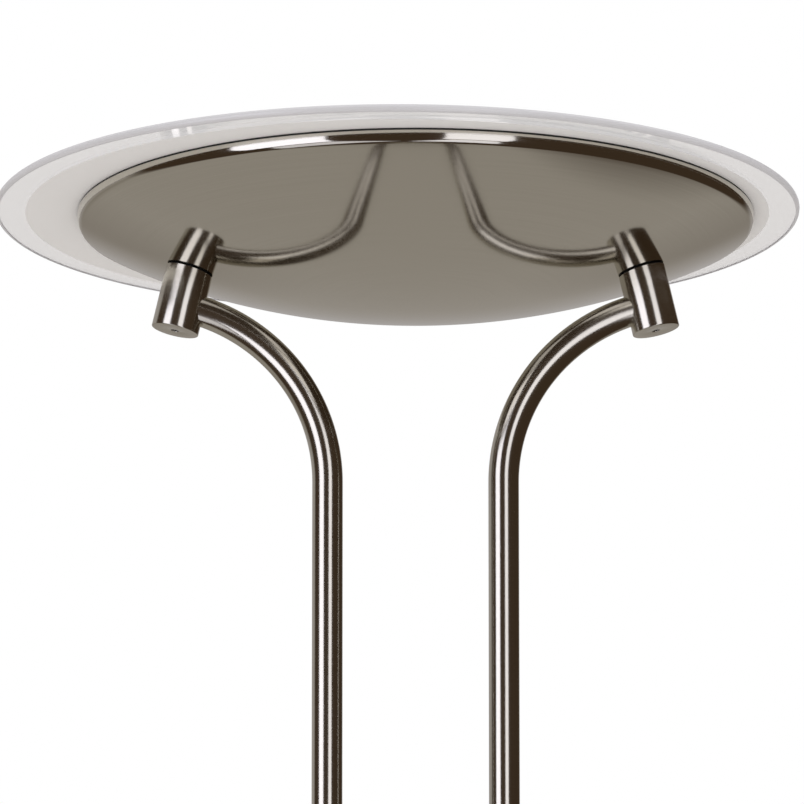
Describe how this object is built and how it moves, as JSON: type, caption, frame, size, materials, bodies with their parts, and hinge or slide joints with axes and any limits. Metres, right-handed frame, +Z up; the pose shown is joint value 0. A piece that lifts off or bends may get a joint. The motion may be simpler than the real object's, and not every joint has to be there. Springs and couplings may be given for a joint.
{
  "type": "torchiere floor lamp",
  "caption": "Uplighter floor lamp: brushed nickel dish under a frosted glass disc, carried by twin bent tubes on a round weighted base, with a rotary dimmer.",
  "frame": {"origin": "centre of the base's underside, on the floor, midway between the two poles", "axes": "+Z up along the poles, +X to the right through both poles, -Y towards the front, where the dimmer knob is"},
  "size_m": [0.423, 0.423, 1.8],
  "materials": {
    "glass": "clear float glass, acid-frosted in the middle, polished edge",
    "nickel": "brushed nickel plate on steel, clear lacquer",
    "gasket": "black rubber",
    "brass": "turned brass",
    "zinc": "bright zinc plate",
    "aluminium": "rolled aluminium",
    "ceramic": "unglazed steatite ceramic",
    "contact": "copper contact",
    "spring_steel": "drawn steel",
    "quartz": "clear fused quartz",
    "tungsten": "coiled tungsten wire",
    "terminal_plastic": "moulded polyamide",
    "lead_sleeve": "braided glass-fibre sleeve",
    "cable": "heat-resistant sheathed cable",
    "black_steel": "blackened steel",
    "board": "circuit board",
    "copper": "enamelled copper wire",
    "black_plastic": "moulded black plastic",
    "capacitor": "moulded film capacitor",
    "iron": "sand-cast iron, black paint",
    "felt": "black pressed felt"
  },
  "bodies": {
    "stand": {"glass_gasket": "gasket", "dish_shell": "nickel", "dish_gaskets": "gasket", "head_nipples": "brass", "head_washers": "zinc", "head_nuts": "brass", "lamp_strap": "zinc", "heat_shield": "aluminium", "shield_rivets": "aluminium", "lamp_holder_left": "ceramic", "lamp_holder_right": "ceramic", "holder_screws": "zinc", "fixed_contact": "contact", "contact_spring": "spring_steel", "holder_cap": "ceramic", "lamp_tube": "quartz", "lamp_ends": "ceramic", "lamp_filament": "tungsten", "terminal_block": "terminal_plastic", "terminal_screws": "brass", "earth_screw": "brass", "head_leads": "lead_sleeve", "lamp_cable": "cable", "barrel_left": "nickel", "barrel_right": "nickel", "barrel_screws": "black_steel", "arm_left": "nickel", "arm_right": "nickel", "upper_couplers": "zinc", "pole_middle_left": "nickel", "pole_middle_right": "nickel", "lower_couplers": "zinc", "pole_lower_left": "nickel", "pole_lower_right": "nickel", "dimmer_shell_front": "nickel", "dimmer_shell_rear": "nickel", "dimmer_screws": "black_steel", "dimmer_board": "board", "dimmer_choke": "copper", "dimmer_triac": "black_plastic", "dimmer_capacitor": "capacitor", "dimmer_pot": "zinc", "dimmer_nut": "zinc", "pole_plugs": "zinc", "pole_collars": "nickel", "base_cover": "nickel", "base_weight": "iron", "base_nipples": "brass", "base_washers": "zinc", "base_nuts": "brass", "supply_cable": "cable", "cord_bushing": "black_plastic", "base_plate": "zinc", "plate_screws": "zinc", "foot_pad": "felt"},
    "glass": {"glass_disc": "glass"},
    "contact": {"sprung_contact": "contact"},
    "knob": {"dimmer_knob": "nickel", "dimmer_shaft": "spring_steel"}
  },
  "joints": [
    {"name": "glass_lift_off", "type": "slide", "parent": "stand", "child": "glass", "axis": [0, 0, 1], "range_m": [0, 0.15]},
    {"name": "dimmer_turn", "type": "hinge", "parent": "stand", "child": "knob", "pos_m": [0, -0.0286, 1.19], "axis": [0, 1, 0], "range_deg": [0, 280]},
    {"name": "contact_press", "type": "slide", "parent": "stand", "child": "contact", "axis": [1, 0, 0], "range_m": [0, 0.0025], "stiffness_N_per_m": 600, "springref_m": -0.004, "deforming": ["contact_spring"]}
  ]
}
